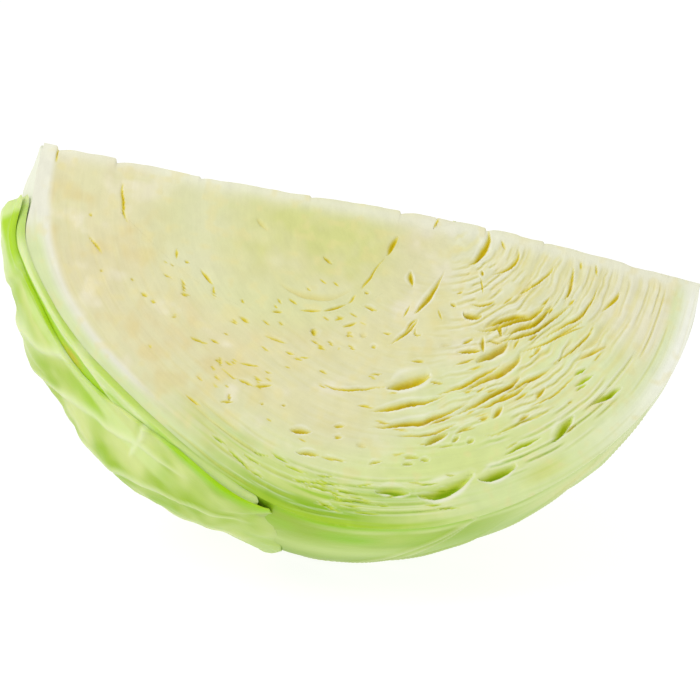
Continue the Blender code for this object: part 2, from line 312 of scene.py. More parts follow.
STEM_SIDE_GAPS = (
    ((4, -1), (4.2, 5), 0.7),
    ((22.5, 5.5), (24, 13), (27.5, 19.5), 0.9),
    ((17.5, 25), (22.5, 30.5), 0.8),
    ((17, 18.9), (17.2, 19), 0.7),
    ((23, 35.4), (23.2, 35.5), 0.7),
    ((31.3, 35.3), (31.5, 35.4), 0.7),
    ((34.7, 39.3), (35.8, 39.6), 0.9),
    ((37.8, 40.8), (38.6, 41.1), 0.8),
    ((39.5, 32), (41.5, 32.7), 0.8),
    ((44, 32), (45.2, 37.2), 0.8),
    ((44.7, 37), (46.1, 36.7), 0.9),
    ((41.3, 24.3), (41.8, 26.6), 0.7),
    ((40.9, 28.6), (41.1, 28.6), 0.7),
    ((44.4, 26.8), (44.6, 26.8), 0.7),
    ((38.9, 28.5), (39.1, 28.5), 0.7),
    ((44.7, 43.3), (44.2, 44.6), 0.7),
    ((50, 49.6), (53.2, 50.3), 0.8),
    ((54.3, 48.3), (57.5, 49.2), 0.8),
    ((39.9, 54.8), (40.1, 54.8), 0.7),
    ((62.3, 63.7), (62.7, 65.9), 0.9),
    ((60.3, 66.6), (64, 65.6), 0.8),
    ((51, 66.6), (56, 69), 0.7),
)
LOWER_GAPS = (
    ((71, 64.3), (71.2, 64.3), 0.7),
    ((76.5, 63.5), (76.7, 63.5), 0.7),
    ((80, 69.8), (85, 69.2), 1.5),
    ((82.5, 76), (88.5, 75), 1.3),
    ((88.7, 75.2), (96.2, 75.5), 0.8),
    ((101.5, 74.5), (104.5, 73), 0.9),
    ((115, 65.5), (119.5, 61.5), 1.9),
    ((132.5, 51), (130.5, 54), 1.4),
    ((129, 54), (127, 55.5), 1.0),
    ((126, 58), (122, 61), 1.0),
    ((123, 62), (121.5, 63.5), 1.0),
    ((127, 62), (125.5, 63), 1.0),
    ((110, 70.5), (114, 69.7), 0.9),
    ((114.5, 70.2), (116.2, 70), 0.9),
    ((110, 72.3), (112.7, 72), 0.9),
    ((140, 51), (138, 54), 1.1),
    ((91.4, 65.8), (93.2, 65.4), 0.9),
    ((91.9, 68.7), (93.1, 68.8), 0.9),
    ((115, 59.5), (121, 55.5), 1.0),
)
GREEN_GAPS = (
    ((153, 33.5), (150.5, 36.5), 1.0),
    ((155.5, 34.5), (151, 39.5), 1.0),
    ((154, 37.5), (151.5, 41), 0.8),
    ((163, 37), (156, 43.5), 1.5),
    ((104.5, 82), (112.5, 80.5), 1.9),
    ((116, 80.5), (122, 77.5), (128, 71.5), 3.2),
    ((130.5, 72), (134.5, 70), (138, 66.5), 2.4),
    ((135, 64.5), (144, 56.5), 1.0),
    ((147.5, 56.5), (151.5, 49), 2.1),
    ((85, 83), (92.5, 84), 0.7),
    ((85, 84.5), (95.5, 84.9), 0.7),
    ((92.5, 86.7), (105.5, 85.2), 0.7),
)
SOFT_HOLLOWS = (
    ((156.5, 20), (152.5, 26), (148, 31.5), 2.6),
    ((114, 37), (116.5, 36), 1.1),
    ((109.5, 55.5), (110.5, 55.5), 1.5),
    ((93.6, 38), (94, 38), 1.6),
    ((60, 9), (63, 12), 1.3),
    ((97.5, 69.8), (99.5, 69.9), 1.6),
    ((135, 8), (134, 14), (130, 20), 2.5),
    ((70, 28), (78, 30), (88, 26), 2.2),
)


def seeded_gaps(seed, count, shares, angles, longest):
    """Short gaps along the arcs, scattered by a seed: more of them towards the middle of the angles."""
    draw = np.random.default_rng(seed)
    strokes = []
    for _ in range(count):
        share = draw.uniform(*shares)
        angle = math.radians(draw.triangular(angles[0], (angles[0] + angles[1]) / 2, angles[1]))
        half_angle = draw.uniform(0.3, 1) * longest / 2 / (90 * share)
        drift = draw.normal(0, 0.15) * half_angle * share
        path = []
        for side in (-1, 0, 1):
            along, out = nest(share + side * drift, angle + side * half_angle, -HALF_WEDGE)
            path.append((1000 * along, 1000 * (out - 0.7 * bow(along, out))))
        strokes.append((*path, draw.uniform(0.4, 0.75)))
    return tuple(strokes)


LONG_GAPS = (
    ((122, 29.5), (133, 24.5), (140.5, 15.5), 1.4),
    ((128, 31.5), (138, 25.5), (148, 13), 1.2),
    ((134, 33.5), (144, 26.5), (151, 17), 0.8),
    ((99, 60), (108, 56.5), (118, 50), 1.5),
    ((100, 64.5), (112, 60), (124, 50.5), 1.6),
    ((106, 66), (116, 62), (122, 57.5), 0.9),
    ((125, 53), (133, 48), (139, 42), 1.2),
    ((138, 50), (146, 43), (152, 34), 0.7),
    ((128, 60), (138, 54.5), (147, 46), 0.7),
    ((143, 36), (150, 27.5), (154, 18), 0.7),
)
FRONT = {
    "turn": -HALF_WEDGE,
    "seed": 10,
    "gaps": CRUMPLED_GAPS + INNER_GAPS + STEM_SIDE_GAPS + LOWER_GAPS + LONG_GAPS
    + seeded_gaps(3, 30, (0.5, 0.9), (70, 165), 6)
    + seeded_gaps(9, 45, (0.35, 0.85), (30, 100), 2.5),
    "green": GREEN_GAPS + seeded_gaps(4, 34, (0.88, 0.98), (66, 118), 8),
    "hollows": SOFT_HOLLOWS,
}
BACK = {
    "turn": HALF_WEDGE,
    "seed": 60,
    "gaps": seeded_gaps(5, 150, (0.25, 0.9), (70, 165), 9) + seeded_gaps(6, 60, (0.55, 0.85), (40, 150), 3),
    "green": seeded_gaps(7, 50, (0.88, 0.98), (60, 160), 9),
    "hollows": seeded_gaps(8, 20, (0.3, 0.9), (40, 160), 12),
}
KNIFE_NICKS = ((4, 1.3), (20, 1.4), (43, 0.6), (73, 0.6), (97.5, 0.8), (121, 0.9), (137, 0.6))
RIDGE_BLEND = 0.0012
LAYERS = 40


def leaf_lines(share, angle, u, v, seed):
    """Thin lines between the leaves, at whole numbers of layers, bent by noise and broken in places, and
    the rims beside them, where a highlight is painted."""
    crumple = bump(share, 0.55, 0.4) * grows(np.degrees(angle), 80, 30)
    bent = LAYERS * share + 0.5 * noise(angle * 3, share * 5, seed)
    bent = bent + crumple * (1.6 * noise(u / 14, v / 14, seed + 5) + 0.5 * noise(u / 5, v / 5, seed + 8, 2))
    number = np.round(bent)
    line = 1 - smooth(np.abs(bent - number) / 0.24)
    rim = np.exp(-(((np.abs(bent - number) - 0.36) / 0.1) ** 2))
    broken = smooth(0.5 + 1.8 * lattice(angle * 7 + 13 * number, number * 1.7, seed + 11))
    return line * broken, rim * broken, bent


def ridge_nicks(u):
    """Notches that the knife left in the ridge, sharp on one side and running out on the other."""
    notched = np.zeros_like(u)
    for nick, depth in KNIFE_NICKS:
        sharp = np.exp(-(((u - nick) / 0.3) ** 2))
        notched = notched + depth * np.where(u < nick, sharp, np.exp((nick - u) / 1.8))
    return notched


def cut_relief(along, out, cut):
    """How deep the cut lies under the knife's plane in metres, and what to colour it by."""
    share, angle = unnest(along, out, cut["turn"])
    degrees = np.degrees(angle)
    seed = cut["seed"]
    u = 1000 * along
    v = 1000 * (out - 0.7 * bow(along, out))
    x = u + 0.2 * noise(u / 2.4, v / 2.4, seed + 1, 2) + 0.6 * noise(u / 6, v / 6, seed + 14, 1)
    y = v + 0.2 * noise(u / 2.4, v / 2.4, seed + 4, 2) + 0.6 * noise(u / 6, v / 6, seed + 17, 1)
    sink, gap, green_gap, hollow, rim = (np.zeros_like(u) for _ in range(5))
    carve(x, y, cut["gaps"], sink, gap, rim)
    carve(x, y, cut["green"], sink, green_gap, rim)
    carve(x, y, cut["hollows"], np.zeros_like(u), hollow, np.zeros_like(u))
    line, line_highlight, bent = leaf_lines(share, angle, u, v, seed + 20)
    packed = grows(out - core_depth(along), 0.001, 0.004)
    tip_side = grows(degrees, 100, 30)
    ring = grows(share, 0.84, 0.06)
    stem_side = fades(degrees, 50, 30)
    at_tip = grows(degrees, 140, 20)
    outer_band = grows(share, 0.90, 0.04) * grows(degrees, 104, 14)
    lined = 0.04 + 0.34 * tip_side * (1 - 0.5 * ring) * (1 - 0.5 * at_tip) + 0.27 * ring * (1 - stem_side)
    lined = packed * lined * (1 - 0.85 * outer_band) * grows(share, 0.08, 0.14)
    sink = sink + line * lined
    folds = np.sin(2 * math.pi * bent / 2) * packed * tip_side * (1 - ring)
    lumps = 0.2 * (1 + noise(u / 8, v / 8, seed + 30)) + 0.11 * (1 + noise(u / 2.6, v / 2.6, seed + 34, 2))
    sink = sink + 0.12 * (1 + folds) + lumps + 0.5 * hollow
    ridge_sink = np.clip(0.15 + 0.4 * noise(u / 6, np.zeros_like(u), 90, 3), 0, None) + ridge_nicks(u)
    sink = np.clip(sink, 0, 0.5 * 1000 * out)
    sink = sink + (ridge_sink - sink) * np.exp(-out / RIDGE_BLEND)
    # A highlight is painted on the rims beside the lines between the leaves.
    line_highlight = 0.8 * line_highlight * np.minimum(lined * 3, 1) * packed * (1 - 0.5 * ring)
    # In the looks, the gap entries mark painted shade and the rim entry a painted highlight.
    looks = {
        "share": share, "angle": angle, "u": u, "v": v, "seed": seed,
        "gap": gap, "green_gap": green_gap, "hollow": hollow, "rim": np.maximum(rim, line_highlight),
        "line": line * packed, "lined": lined, "folds": folds, "outer_band": outer_band,
        "packed": np.maximum(grows(out - core_depth(along), -0.003, 0.012), grows(u, 86, 20)),
    }
    return sink / 1000, looks


def display(*levels):
    """A colour as a display shows it, 0 to 255, turned into linear light."""
    levels = np.array(levels) / 255
    return ((levels + 0.055) / 1.055) ** 2.4


def paint(tint, colour, weight):
    """Mixes a display colour into the tint by a weight from 0 to 1."""
    weight = np.clip(weight, 0, 1)[..., None]
    return tint + (display(*colour) - tint) * weight


def coats(base, layers, shape):
    """A base colour under coats of other display colours, laid on in turn, each by its weight."""
    tint = np.zeros(shape + (3,)) + display(*base)
    for colour, weight in layers:
        tint = paint(tint, colour, weight)
    return tint


def cut_tint(looks):
    """The colours of a cut face: cream, greener at the core and in the outer layers, golden painted shade in
    its gaps.
    """
    share, angle, u, v = looks["share"], looks["angle"], looks["u"], looks["v"]
    packed, outer_band, seed = looks["packed"], looks["outer_band"], looks["seed"]
    degrees = np.degrees(angle)
    cloud = noise(u / 13, v / 13, seed + 40)
    fleck = noise(u / 3, v / 3, seed + 44, 2)
    streak = noise(angle * 4, share * 55, seed + 47, 2)
    layering = noise(angle * 5, share * 90, seed + 50, 2)
    blotch = noise(u / 7, v / 7, seed + 54)
    stem_side = fades(degrees, 45, 40)
    tip_side = grows(degrees, 110, 25)
    core_zone = (1 - packed) * grows(u, 28, 18)
    outer = grows(share, 0.86, 0.06) * bump(degrees, 92, 42)
    stem_rim = grows(share, 0.972, 0.03) * grows(degrees, 13, 8) * fades(degrees, 62, 14)
    tip_white = grows(degrees, 140, 24) * grows(share, 0.93, 0.06)
    light_green = grows(share, 0.42, 0.2) * grows(degrees, 85, 25) * fades(degrees, 152, 14)
    greener = smooth((share - 0.74 + 0.08 * bump(degrees, 116, 28)) / 0.14) * bump(degrees, 112, 58)
    line = looks["line"] * np.minimum(looks["lined"] * 2.5, 1)
    # Masks for painted shade in the gaps, and for deeper green painted shade in the deep green gaps.
    gap, green_gap = looks["gap"], looks["green_gap"]
    deep_green_shade = 0.95 * grows(green_gap, 0.45, 0.4)
    lower = grows(v, 60, 20)
    cream = (
        ((228, 228, 190), grows(degrees, 80, 60) * packed),
        ((236, 232, 200), 0.8 * tip_side * grows(share, 0.45, 0.3)),
        ((230, 224, 160), 0.6 * packed * smooth(0.2 + cloud) * fades(share, 0.75, 0.15)),
        ((223, 226, 182), grows(share, 0.72, 0.15) * bump(degrees, 85, 55)),
        ((224, 216, 172), 0.9 * stem_side * smooth(0.35 + 0.4 * streak + 0.9 * cloud)),
        ((224, 208, 148), 0.65 * stem_side * smooth(1.5 * blotch + 0.3 * streak)),
        ((238, 232, 204), 0.7 * smooth(-0.2 - 1.6 * blotch) * (1 - 0.5 * tip_side)),
        ((220, 212, 140), 0.4 * smooth(1.6 * blotch - 0.2) * (1 - stem_side)),
        ((213, 216, 142), core_zone * (0.75 * bump(v, 9, 26) + 0.3 * smooth(0.4 + 1.6 * blotch))),
        ((221, 222, 168), core_zone * grows(v, 18, 16)),
        ((226, 226, 188), 0.7 * core_zone * fades(u, 44, 20)),
        ((234, 233, 214), grows(share, 0.957, 0.02) * fades(degrees, 46, 16)),
    )
    outer_leaves = (
        ((195, 216, 108), 0.9 * outer),
        ((150, 195, 14), 0.8 * outer * smooth(0.2 + 1.7 * layering)),
        ((136, 184, 0), 0.9 * grows(share, 0.955, 0.025) * bump(degrees, 88, 28)),
        ((214, 227, 168), 0.9 * stem_rim),
        ((214, 229, 160), 0.9 * outer_band),
        ((212, 220, 126), 0.8 * outer_band * bump(degrees, 130, 7) * bump(share, 0.96, 0.05)),
        ((226, 234, 188), outer_band * grows(degrees, 132, 14)),
        ((246, 247, 232), outer_band * tip_white),
        ((236, 236, 214), 0.75 * np.exp(-((v / 3.2) ** 2))),
        ((216, 233, 166), 0.55 * light_green * (1 - outer) * (1 - outer_band)),
        # Painted shade: yellow in the valleys of the folds.
        ((228, 220, 136), 0.4 * smooth(looks["folds"]) * (1 - greener)),
        ((214, 228, 138), 0.65 * greener * (1 - outer_band) * (1 - 0.9 * outer)),
    )
    gaps = (
        # Painted shade in the thin grooves between the leaves, yellow or in greener layers green, and in the
        # hollows.
        ((214, 204, 92), 0.8 * line * (1 - greener)),
        ((158, 196, 56), 0.8 * line * greener),
        ((224, 208, 112), 0.5 * looks["hollow"]),
        # Painted highlight on the rims of the gaps and beside the lines between the leaves.
        ((242, 242, 222), 0.9 * looks["rim"] * (1 - stem_side)),
        # Painted shade in the gaps: golden, darker golden where a gap is deep, greener in the greener layers.
        ((226, 214, 84), smooth(1.8 * gap) * (1 - 0.6 * greener)),
        ((196, 212, 72), smooth(1.6 * gap) * 0.6 * greener),
        ((214, 192, 10), 0.95 * grows(gap, 0.4, 0.4) * (1 - greener)),
        ((168, 204, 50), 0.85 * grows(share, 1, 0.008) * bump(degrees, 92, 36)),
        # Painted shade in the green gaps of the outer layers: deeper green where deep, darker further from
        # the ridge.
        ((200, 216, 70), smooth(1.6 * green_gap)),
        ((186, 202, 14), deep_green_shade * (1 - lower)),
        ((150, 186, 0), deep_green_shade * lower),
        ((226, 214, 150), 0.35 * smooth(1.8 * fleck - 0.2) * (1 - outer)),
    )
    tint = coats((226, 222, 176), cream + outer_leaves + gaps, u.shape)
    return tint * (1 + 0.04 * fleck + 0.03 * streak)[..., None]


def cut_face(along, out, cut):
    """The points, colours and grain of a cut face, pressed in from the knife's plane; at the ridge, down."""
    sink, looks = cut_relief(along, out, cut)
    turn = cut["turn"]
    aside = smooth(out / 0.0025)
    sideways = -np.sign(turn) * math.cos(turn) * aside
    inward = tilt(0 * out, sideways, -math.sin(abs(turn)) * aside - (1 - aside))
    points = place(along, out, turn) + inward * sink[..., None]
    grain = np.stack([looks["angle"] * 0.06, looks["share"] * 0.09, 0 * out + turn], axis=-1)
    return points, cut_tint(looks), grain, sink


LEAST_RIM = 0.002
BOTH_CUTS = (-HALF_WEDGE, HALF_WEDGE)


def turns_between(out, turns, first_sink, last_sink, steps):
    """Turns round a surface between two cuts, that start and end past the sunken rims of both."""
    out = np.maximum(out, LEAST_RIM)
    first = turns[0] + np.arctan(first_sink / out)
    last = turns[1] - np.arctan(last_sink / out)
    return first + (last - first) * np.linspace(0, 1, steps + 1)[1:-1]


def close_loops(name, faces):
    """A closed mesh from faces of points, tint and grain: each is (steps along, points across, 3), and
    together they go once round. Its ends are filled."""
    points, tint, grain = (np.concatenate(parts, axis=1) for parts in zip(*(face[:3] for face in faces)))
    steps, around = points.shape[:2]
    number = np.arange(steps * around).reshape(steps, around)
    after = np.roll(number, -1, axis=1)
    quads = np.stack([number[:-1], number[1:], after[1:], after[:-1]], axis=-1).reshape(-1, 4)
    ends = [number[0].tolist(), number[-1][::-1].tolist()]
    mesh = bpy.data.meshes.new(name)
    mesh.from_pydata(points.reshape(-1, 3).tolist(), [], quads.tolist() + ends)
    colours = np.concatenate([tint, np.ones(tint.shape[:2] + (1,))], axis=-1)
    for label, kind, field, values in (
        ("tint", "FLOAT_COLOR", "color", colours),
        ("grain", "FLOAT_VECTOR", "vector", grain),
    ):
        attribute = mesh.attributes.new(label, kind, "POINT")
        attribute.data.foreach_set(field, values.astype(np.float32).ravel())
    shape = bmesh.new()
    shape.from_mesh(mesh)
    bmesh.ops.remove_doubles(shape, verts=shape.verts, dist=2e-6)
    bmesh.ops.triangulate(shape, faces=[face for face in shape.faces if len(face.verts) > 4])
    if shape.calc_volume(signed=True) < 0:
        bmesh.ops.reverse_faces(shape, faces=shape.faces)
    shape.to_mesh(mesh)
    shape.free()
    mesh.shade_smooth()
    mesh.set_sharp_from_angle(angle=math.radians(65))
    return mesh


def feed(owner, node, inputs):
    """Gives each input of a node a value, or links it to another node's output."""
    for socket, source in inputs.items():
        if isinstance(source, bpy.types.NodeSocket):
            owner.node_tree.links.new(source, node.inputs[socket])
        else:
            node.inputs[socket].default_value = source


def leaf_material(name, roughness, fleshiness, streaks):
    """Moist leaf: the tint attribute, streaked along the grain, softly lit from inside, finely bumped."""
    material = bpy.data.materials.new(name)
    material.use_nodes = True
    nodes = material.node_tree.nodes

    def output(kind, socket, inputs, **settings):
        """One output of a new node with these inputs and settings."""
        node = nodes.new("ShaderNode" + kind)
        for setting, value in settings.items():
            setattr(node, setting, value)
        feed(material, node, inputs)
        return node.outputs[socket]

    tint = output("Attribute", "Color", {}, attribute_name="tint")
    grain = output("Attribute", "Vector", {}, attribute_name="grain")
    stretched = output("VectorMath", 0, {0: grain, 1: (130, 1500, 1500)}, operation="MULTIPLY")
    fibre = output("TexNoise", "Fac", {"Vector": stretched, "Scale": 1.0, "Detail": 2.0})
    shade = output("MapRange", "Result", {"Value": fibre, "To Min": 1 - streaks, "To Max": 1 + streaks})
    colour = output("VectorMath", 0, {0: tint, "Scale": shade}, operation="SCALE")
    on_piece = output("TexCoord", "Object", {})
    pores = output("TexNoise", "Fac", {"Vector": on_piece, "Scale": 900, "Detail": 2.0})
    height = output("Math", 0, {0: fibre, 1: pores}, operation="ADD")
    relief = output("Bump", "Normal", {"Height": height, "Strength": 0.25, "Distance": 0.00025})
    feed(material, nodes["Principled BSDF"], {
        "Base Color": colour, "Normal": relief, "Roughness": roughness, "Specular IOR Level": 0.15,
        "Subsurface Weight": fleshiness, "Subsurface Radius": (1.0, 0.8, 0.25), "Subsurface Scale": 0.003,
    })
    return material


def put(name, data):
    """A new object in the scene, for a mesh, a light or a camera."""
    thing = bpy.data.objects.new(name, data)
    bpy.context.scene.collection.objects.link(thing)
    return thing


def add_piece(name, faces, material, node):
    """Puts a closed piece into the scene in place of its CAD node."""
    mesh = close_loops(name, faces)
    mesh.materials.append(material)
    piece = put(name, mesh)
    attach(piece, "root")
    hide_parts(node)


def crowded(steps):
    """Shares from 0 to 1 that lie closer together where the leaves are crumpled."""
    share = np.linspace(0, 1, steps + 1)
    crowding = 0.35 / (2 * math.pi)
    return share + crowding * (np.sin(2 * math.pi * (share - 0.05)) + math.sin(0.1 * math.pi))


CORE_ROWS = 401
CORE_COLUMNS = 141
CORE_BACK_COLUMNS = 41

flesh = leaf_material("core_flesh", 0.45, 0.0, 0.03)
core_along = CORE_BUTT + (CORE_END - CORE_BUTT) * np.sin(np.linspace(0, 1, CORE_ROWS) * math.pi / 2) ** 1.2
core_edge = core_depth(core_along)
core_columns = np.linspace(0, 1, CORE_COLUMNS)
back_columns = np.linspace(1, 0, CORE_BACK_COLUMNS)
core_front = cut_face(core_along[:, None] + 0 * core_columns, core_edge[:, None] * core_columns, FRONT)
core_back = cut_face(core_along[:, None] + 0 * back_columns, core_edge[:, None] * back_columns, BACK)
side_turn = turns_between(core_edge[:, None], BOTH_CUTS, core_front[3][:, -1:], core_back[3][:, :1], 12)
side_points = place(core_along[:, None], core_edge[:, None], side_turn)
side_grain = np.stack([core_along[:, None] + 0 * side_turn, side_turn * 0.03, 0 * side_turn], axis=-1)
core_side = (side_points, display(224, 226, 180) + 0 * side_points, side_grain)
core_faces = (core_front, core_side, [part[:, :-1] for part in core_back])
add_piece("core_flesh", core_faces, flesh, "core")

# Heart leaves, crumpled round the end of the core, in an inner and an outer part. Every row of points
# lies on one of the nested arcs, from where that arc comes out of the core to the ridge.
LEAF_CLEARANCE = -0.00004
HEART_START = 0.004
HEART_MIDDLE = 0.50
HEART_OVERLAP = 0.0005
HEART_SHARE = 0.85
OFF_RIDGE = 0.00001


def leaf_root(share, turn):
    """The angle at which each arc comes out of the core: the last point inside it, over a fine fan."""
    fan = np.linspace(0, math.pi, 4001)
    along, out = nest(np.atleast_1d(share)[:, None], fan, turn)
    inside = (out < core_depth(along) + CORE_CLEARANCE) & (along < CORE_END)
    last = np.where(inside.any(axis=1), inside.shape[1] - 1 - inside[:, ::-1].argmax(axis=1), 0)
    return fan[last]


def packed_leaf(name, low, high, steps, material, node):
    """A block of packed leaf between two shares of the radius, from the core round to the tip. Its steps
    run along the arcs, across the cuts, and round its two sides."""
    columns, rows, turn_rows = steps
    spread = crowded(columns)

    def arc(share, root, turn):
        """Along the ridge and out from it, on an arc from its root in the core to the ridge."""
        return nest(share, root + spread[:, None] * (math.pi - root), turn)

    def cut_arcs(shares, cut):
        """A cut face over these arcs, which all end on the ridge."""
        along, out = arc(shares, leaf_root(shares, cut["turn"]), cut["turn"])
        return cut_face(along, np.where(spread[:, None] < 1, out, 0), cut)

    def side(share, turns, first_sink, last_sink):
        """An arc turned from cut to cut, while its root moves evenly from one cut's to the other's."""
        roots = [leaf_root(share, turn)[0] for turn in BOTH_CUTS]

        def turned(turn):
            """The arc at this turn, kept just off the ridge."""
            root = roots[0] + (turn / HALF_WEDGE + 1) / 2 * (roots[1] - roots[0])
            along, out = arc(share, root, turn)
            return along, np.maximum(out, OFF_RIDGE)

        turn = turns_between(turned(turns[0])[1], turns, first_sink, last_sink, turn_rows)
        return place(*turned(turn), turn)

    shares = low + (high - low) * np.linspace(0, 1, rows + 1)
    front = cut_arcs(shares, FRONT)
    back = cut_arcs(shares[::-1], BACK)
    outer = side(high, BOTH_CUTS, front[3][:, -1:], back[3][:, :1])
    inner = side(low, BOTH_CUTS[::-1], -back[3][:, -1:], -front[3][:, :1])
    green = display(214, 224, 160)
    sides = [(points, green + 0 * points, 0 * points + 0.01) for points in (outer, inner)]
    add_piece(name, (front, sides[0], back, sides[1]), material, node)


leafy = leaf_material("heart_leaves", 0.45, 0.0, 0.04)
packed_leaf("heart_inner", HEART_START, HEART_MIDDLE, (320, 120, 10), leafy, "heart")
outer_start = HEART_MIDDLE - HEART_OVERLAP
packed_leaf("heart_outer", outer_start, HEART_SHARE, (500, 88, 8), leafy, "heart")

# Wrapper leaves, five of them round the heart, thick at the stem and closing over the tip. The cuts
# show their edges as pale layers with thin grooves between them, painted green as shade.
WRAPPERS = 5
WRAPPER_PITCH = (1 - HEART_SHARE) / WRAPPERS

wrapping = leaf_material("wrapper_leaves", 0.42, 0.0, 0.04)
for number in range(WRAPPERS):
    inside = HEART_SHARE + WRAPPER_PITCH * number
    packed_leaf(
        f"wrapper_surface_{number + 1}",
        inside + LEAF_CLEARANCE / HEAD_RADIUS,
        inside + WRAPPER_PITCH,
        (560, 9, 8),
        wrapping,
        f"wrapper_leaf_{number + 1}",
    )

# Skin leaf, the green leaf that covers the whole wedge, with a thick white base at the stem and
# soft pale veins, pressed flat where it rests.
SKIN_LEAF_START = math.radians(0.8)
SKIN_LEAF_THICKNESS = 0.0018
SKIN_LEAF_BASE = 0.0022
SKIN_VEIN_HEIGHT = 0.0006
SKIN_WAVES = 0.0004
TABLE_SKIN = 0.0009
SKIN_ROWS = 330
SKIN_TURNS = 151
SKIN_VEINS = (
    ((10, 22), (60, 14), (120, 10), (176, 0), 5.0),
    ((60, 14), (95, -8), (125, -30), 2.4),
    ((85, 12), (115, -10), (142, -28), 2.2),
    ((105, 10), (135, -8), (158, -22), 2.0),
    ((50, 15), (85, 30), (110, 44), 2.4),
    ((80, 13), (112, 28), (135, 42), 2.2),
    ((25, 20), (55, -12), (88, -38), 2.6),
    ((92, -14), (112, -36), (124, -44), 1.6),
    ((70, 5), (100, -20), (118, -42), 1.8),
    ((112, -4), (140, -26), (152, -42), 1.6),
)


def over_head(angle, height, turn):
    """Along the ridge and out from it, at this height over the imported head."""
    along, out = nest(1.0, angle, turn)
    lifted = 1 + height / HEAD_RADIUS
    return HALF_LENGTH + (along - HALF_LENGTH) * lifted, out * lifted


def skin_thickness(angle, turn):
    """A thick white base at the stem, shaved thin where it meets the front cut, and thin at the tip."""
    degrees = np.degrees(angle)
    base = SKIN_LEAF_BASE * bump(degrees, 12, 20)
    blade = SKIN_LEAF_THICKNESS * (1 - 0.6 * grows(degrees, 108, 45))
    shaved = (1 - smooth(from_front(turn) / 14)) * fades(degrees, 9, 12)
    return (blade + base) * (0.3 + 0.7 * smooth(degrees / 10)) * (1 - 0.8 * shaved)


def leaf_veins(angle, turn, veins):
    """Raised ribs on a leaf, through places given in degrees along and across it: height from 0 to 1."""
    x = np.degrees(angle)
    y = np.degrees(turn) * np.maximum(np.sin(angle), 0.3)
    x = x + 1.2 * noise(x / 9, y / 9, 130, 2)
    y = y + 1.2 * noise(x / 9, y / 9, 134, 2)
    rise = np.zeros_like(x)
    for *path, width in veins:
        near, passed, signed, _ = stroke_distance(x, y, path, width)
        if passed is None:
            continue
        across = signed / (width * (1.1 - 0.7 * passed))
        rib = np.exp(-((across / 0.45) ** 2)) * smooth(6 * (1 - passed)) * smooth(6 * passed)
        rise[near] = np.maximum(rise[near], rib)
    return rise


def rest_on_table(points, least_height):
    """Presses points that would lie under the table flat onto it."""
    points[..., 2] = np.maximum(points[..., 2], least_height)
    return points


def skin_tint(angle, turn, vein):
    """Bright green near the camera's cut, paler below and towards the tip, with nearly white veins and a dark
    olive painted shadow line along the bottom.
    """
    degrees = np.degrees(angle)
    aside = from_front(turn)
    cloud = noise(angle * 4, turn * 5, 140)
    streak = noise(angle * 2.2, turn * 16, 146, 3)
    patches = smooth(0.3 + 1.2 * noise(angle * 9, turn * 12, 144, 2))
    layers = (
        ((174, 200, 84), smooth(0.3 + 0.9 * cloud)),
        ((204, 220, 142), 0.8 * smooth(1.8 * streak - 0.1)),
        ((140, 184, 16), 0.7 * smooth(-1.8 * streak - 0.2)),
        ((150, 200, 20), 0.9 * bump(degrees, 94, 26) * fades(aside, 3, 8) * patches),
        ((148, 200, 0), 0.9 * bump(degrees, 98, 32) * fades(aside, 0.8, 1.6)),
        ((140, 194, 0), 0.8 * bump(degrees, 97, 8) * bump(aside, 6, 4)),
        ((194, 214, 122), 0.8 * bump(degrees, 96, 30) * bump(aside, 14, 8)),
        # Painted shadow: a dark olive line along the bottom, where the leaf rests on the table.
        ((150, 160, 40), 0.8 * bump(degrees, 91, 5) * grows(aside, 21, 6)),
        ((138, 170, 14), 0.85 * bump(degrees, 90, 34) * grows(aside, 12, 16)),
        ((150, 192, 50), 0.5 * fades(degrees, 40, 40)),
        ((200, 218, 140), 0.8 * grows(degrees, 112, 28)),
        ((232, 234, 204), 0.9 * grows(degrees, 138, 25)),
        ((226, 220, 150), 0.55 * bump(degrees, 138, 16) * bump(aside, 9, 10)),
        ((216, 226, 168), 0.6 * vein),
        ((232, 234, 214), fades(degrees, 8, 22)),
    )
    return coats((152, 184, 44), layers, angle.shape)


skin_angle = (SKIN_LEAF_START + crowded(SKIN_ROWS) * (math.pi - SKIN_LEAF_START))[:, None]
at_tip = skin_angle > math.pi - 1e-6


def skin_edge(through, cut):
    """The skin leaf's own strip of a cut, from its inner to its outer side."""
    height = LEAF_CLEARANCE + skin_thickness(skin_angle, cut["turn"]) * through
    along, out = over_head(skin_angle, height, cut["turn"])
    return cut_face(along, np.where(at_tip, 0, out), cut)


skin_front = skin_edge(np.linspace(0, 1, 8), FRONT)
skin_back = skin_edge(np.linspace(1, 0, 6), BACK)
skin_rims = (skin_front[3][:, -1:], skin_back[3][:, :1])
skin_turn = turns_between(HEAD_RADIUS * np.sin(skin_angle), BOTH_CUTS, *skin_rims, SKIN_TURNS)
skin_angles = skin_angle + 0 * skin_turn
skin_vein = leaf_veins(skin_angles, skin_turn, SKIN_VEINS)
skin_waves = SKIN_WAVES * noise(skin_angles * 5, skin_turn * 5, 150, 2)
skin_relief = SKIN_VEIN_HEIGHT * skin_vein + skin_waves
skin_height = LEAF_CLEARANCE + skin_thickness(skin_angles, skin_turn) + skin_relief
skin_along, skin_out = over_head(skin_angles, skin_height, skin_turn)
skin_outer = rest_on_table(place(skin_along, np.where(at_tip, OFF_RIDGE, skin_out), skin_turn), 0.0)
under_turn = skin_turn[:, ::-8]
under_along, under_out = over_head(skin_angles[:, ::-8], LEAF_CLEARANCE, under_turn)
skin_inner = rest_on_table(place(under_along, np.where(at_tip, OFF_RIDGE, under_out), under_turn), TABLE_SKIN)
skin_green = skin_tint(skin_angles, skin_turn, skin_vein)
skin_grain = np.stack([skin_angles * 0.09, skin_turn * 0.02, 0 * skin_turn], axis=-1)
waxy = leaf_material("skin_leaf", 0.40, 0.0, 0.04)
